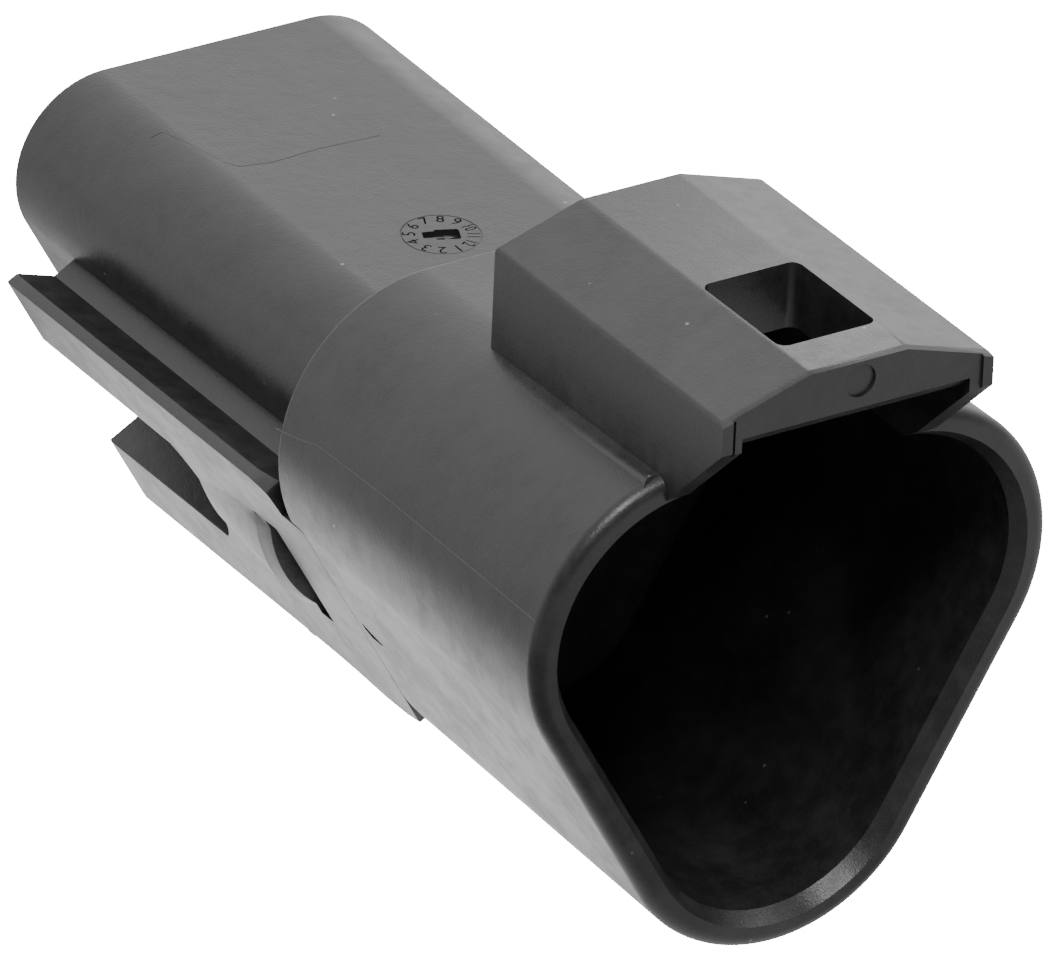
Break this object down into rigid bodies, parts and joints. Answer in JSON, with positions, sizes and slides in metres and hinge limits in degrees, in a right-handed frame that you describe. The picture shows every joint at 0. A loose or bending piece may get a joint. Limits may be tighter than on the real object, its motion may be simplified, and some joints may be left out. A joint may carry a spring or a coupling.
{
  "type": "sealed wire connector housing",
  "caption": "Rounded-triangle sealed wire connector housing with a shrouded mouth, a windowed latch bridge, clip rails and a rear wire seal.",
  "frame": {"origin": "centre of the mouth's rounded triangle, in the plane of the rim", "axes": "-Y out of the mouth, +Y towards the wires, +Z towards the latch bridge, +X to the right of someone who looks into the mouth"},
  "size_m": [0.0264, 0.053, 0.0308],
  "materials": {
    "housing_plastic": "moulded glass-filled polyamide, dark warm grey, fine matte skin",
    "seal_silicone": "moulded silicone, brick orange, dull"
  },
  "bodies": {
    "root": {"housing": "housing_plastic", "wire_seal": "seal_silicone"}
  },
  "joints": []
}
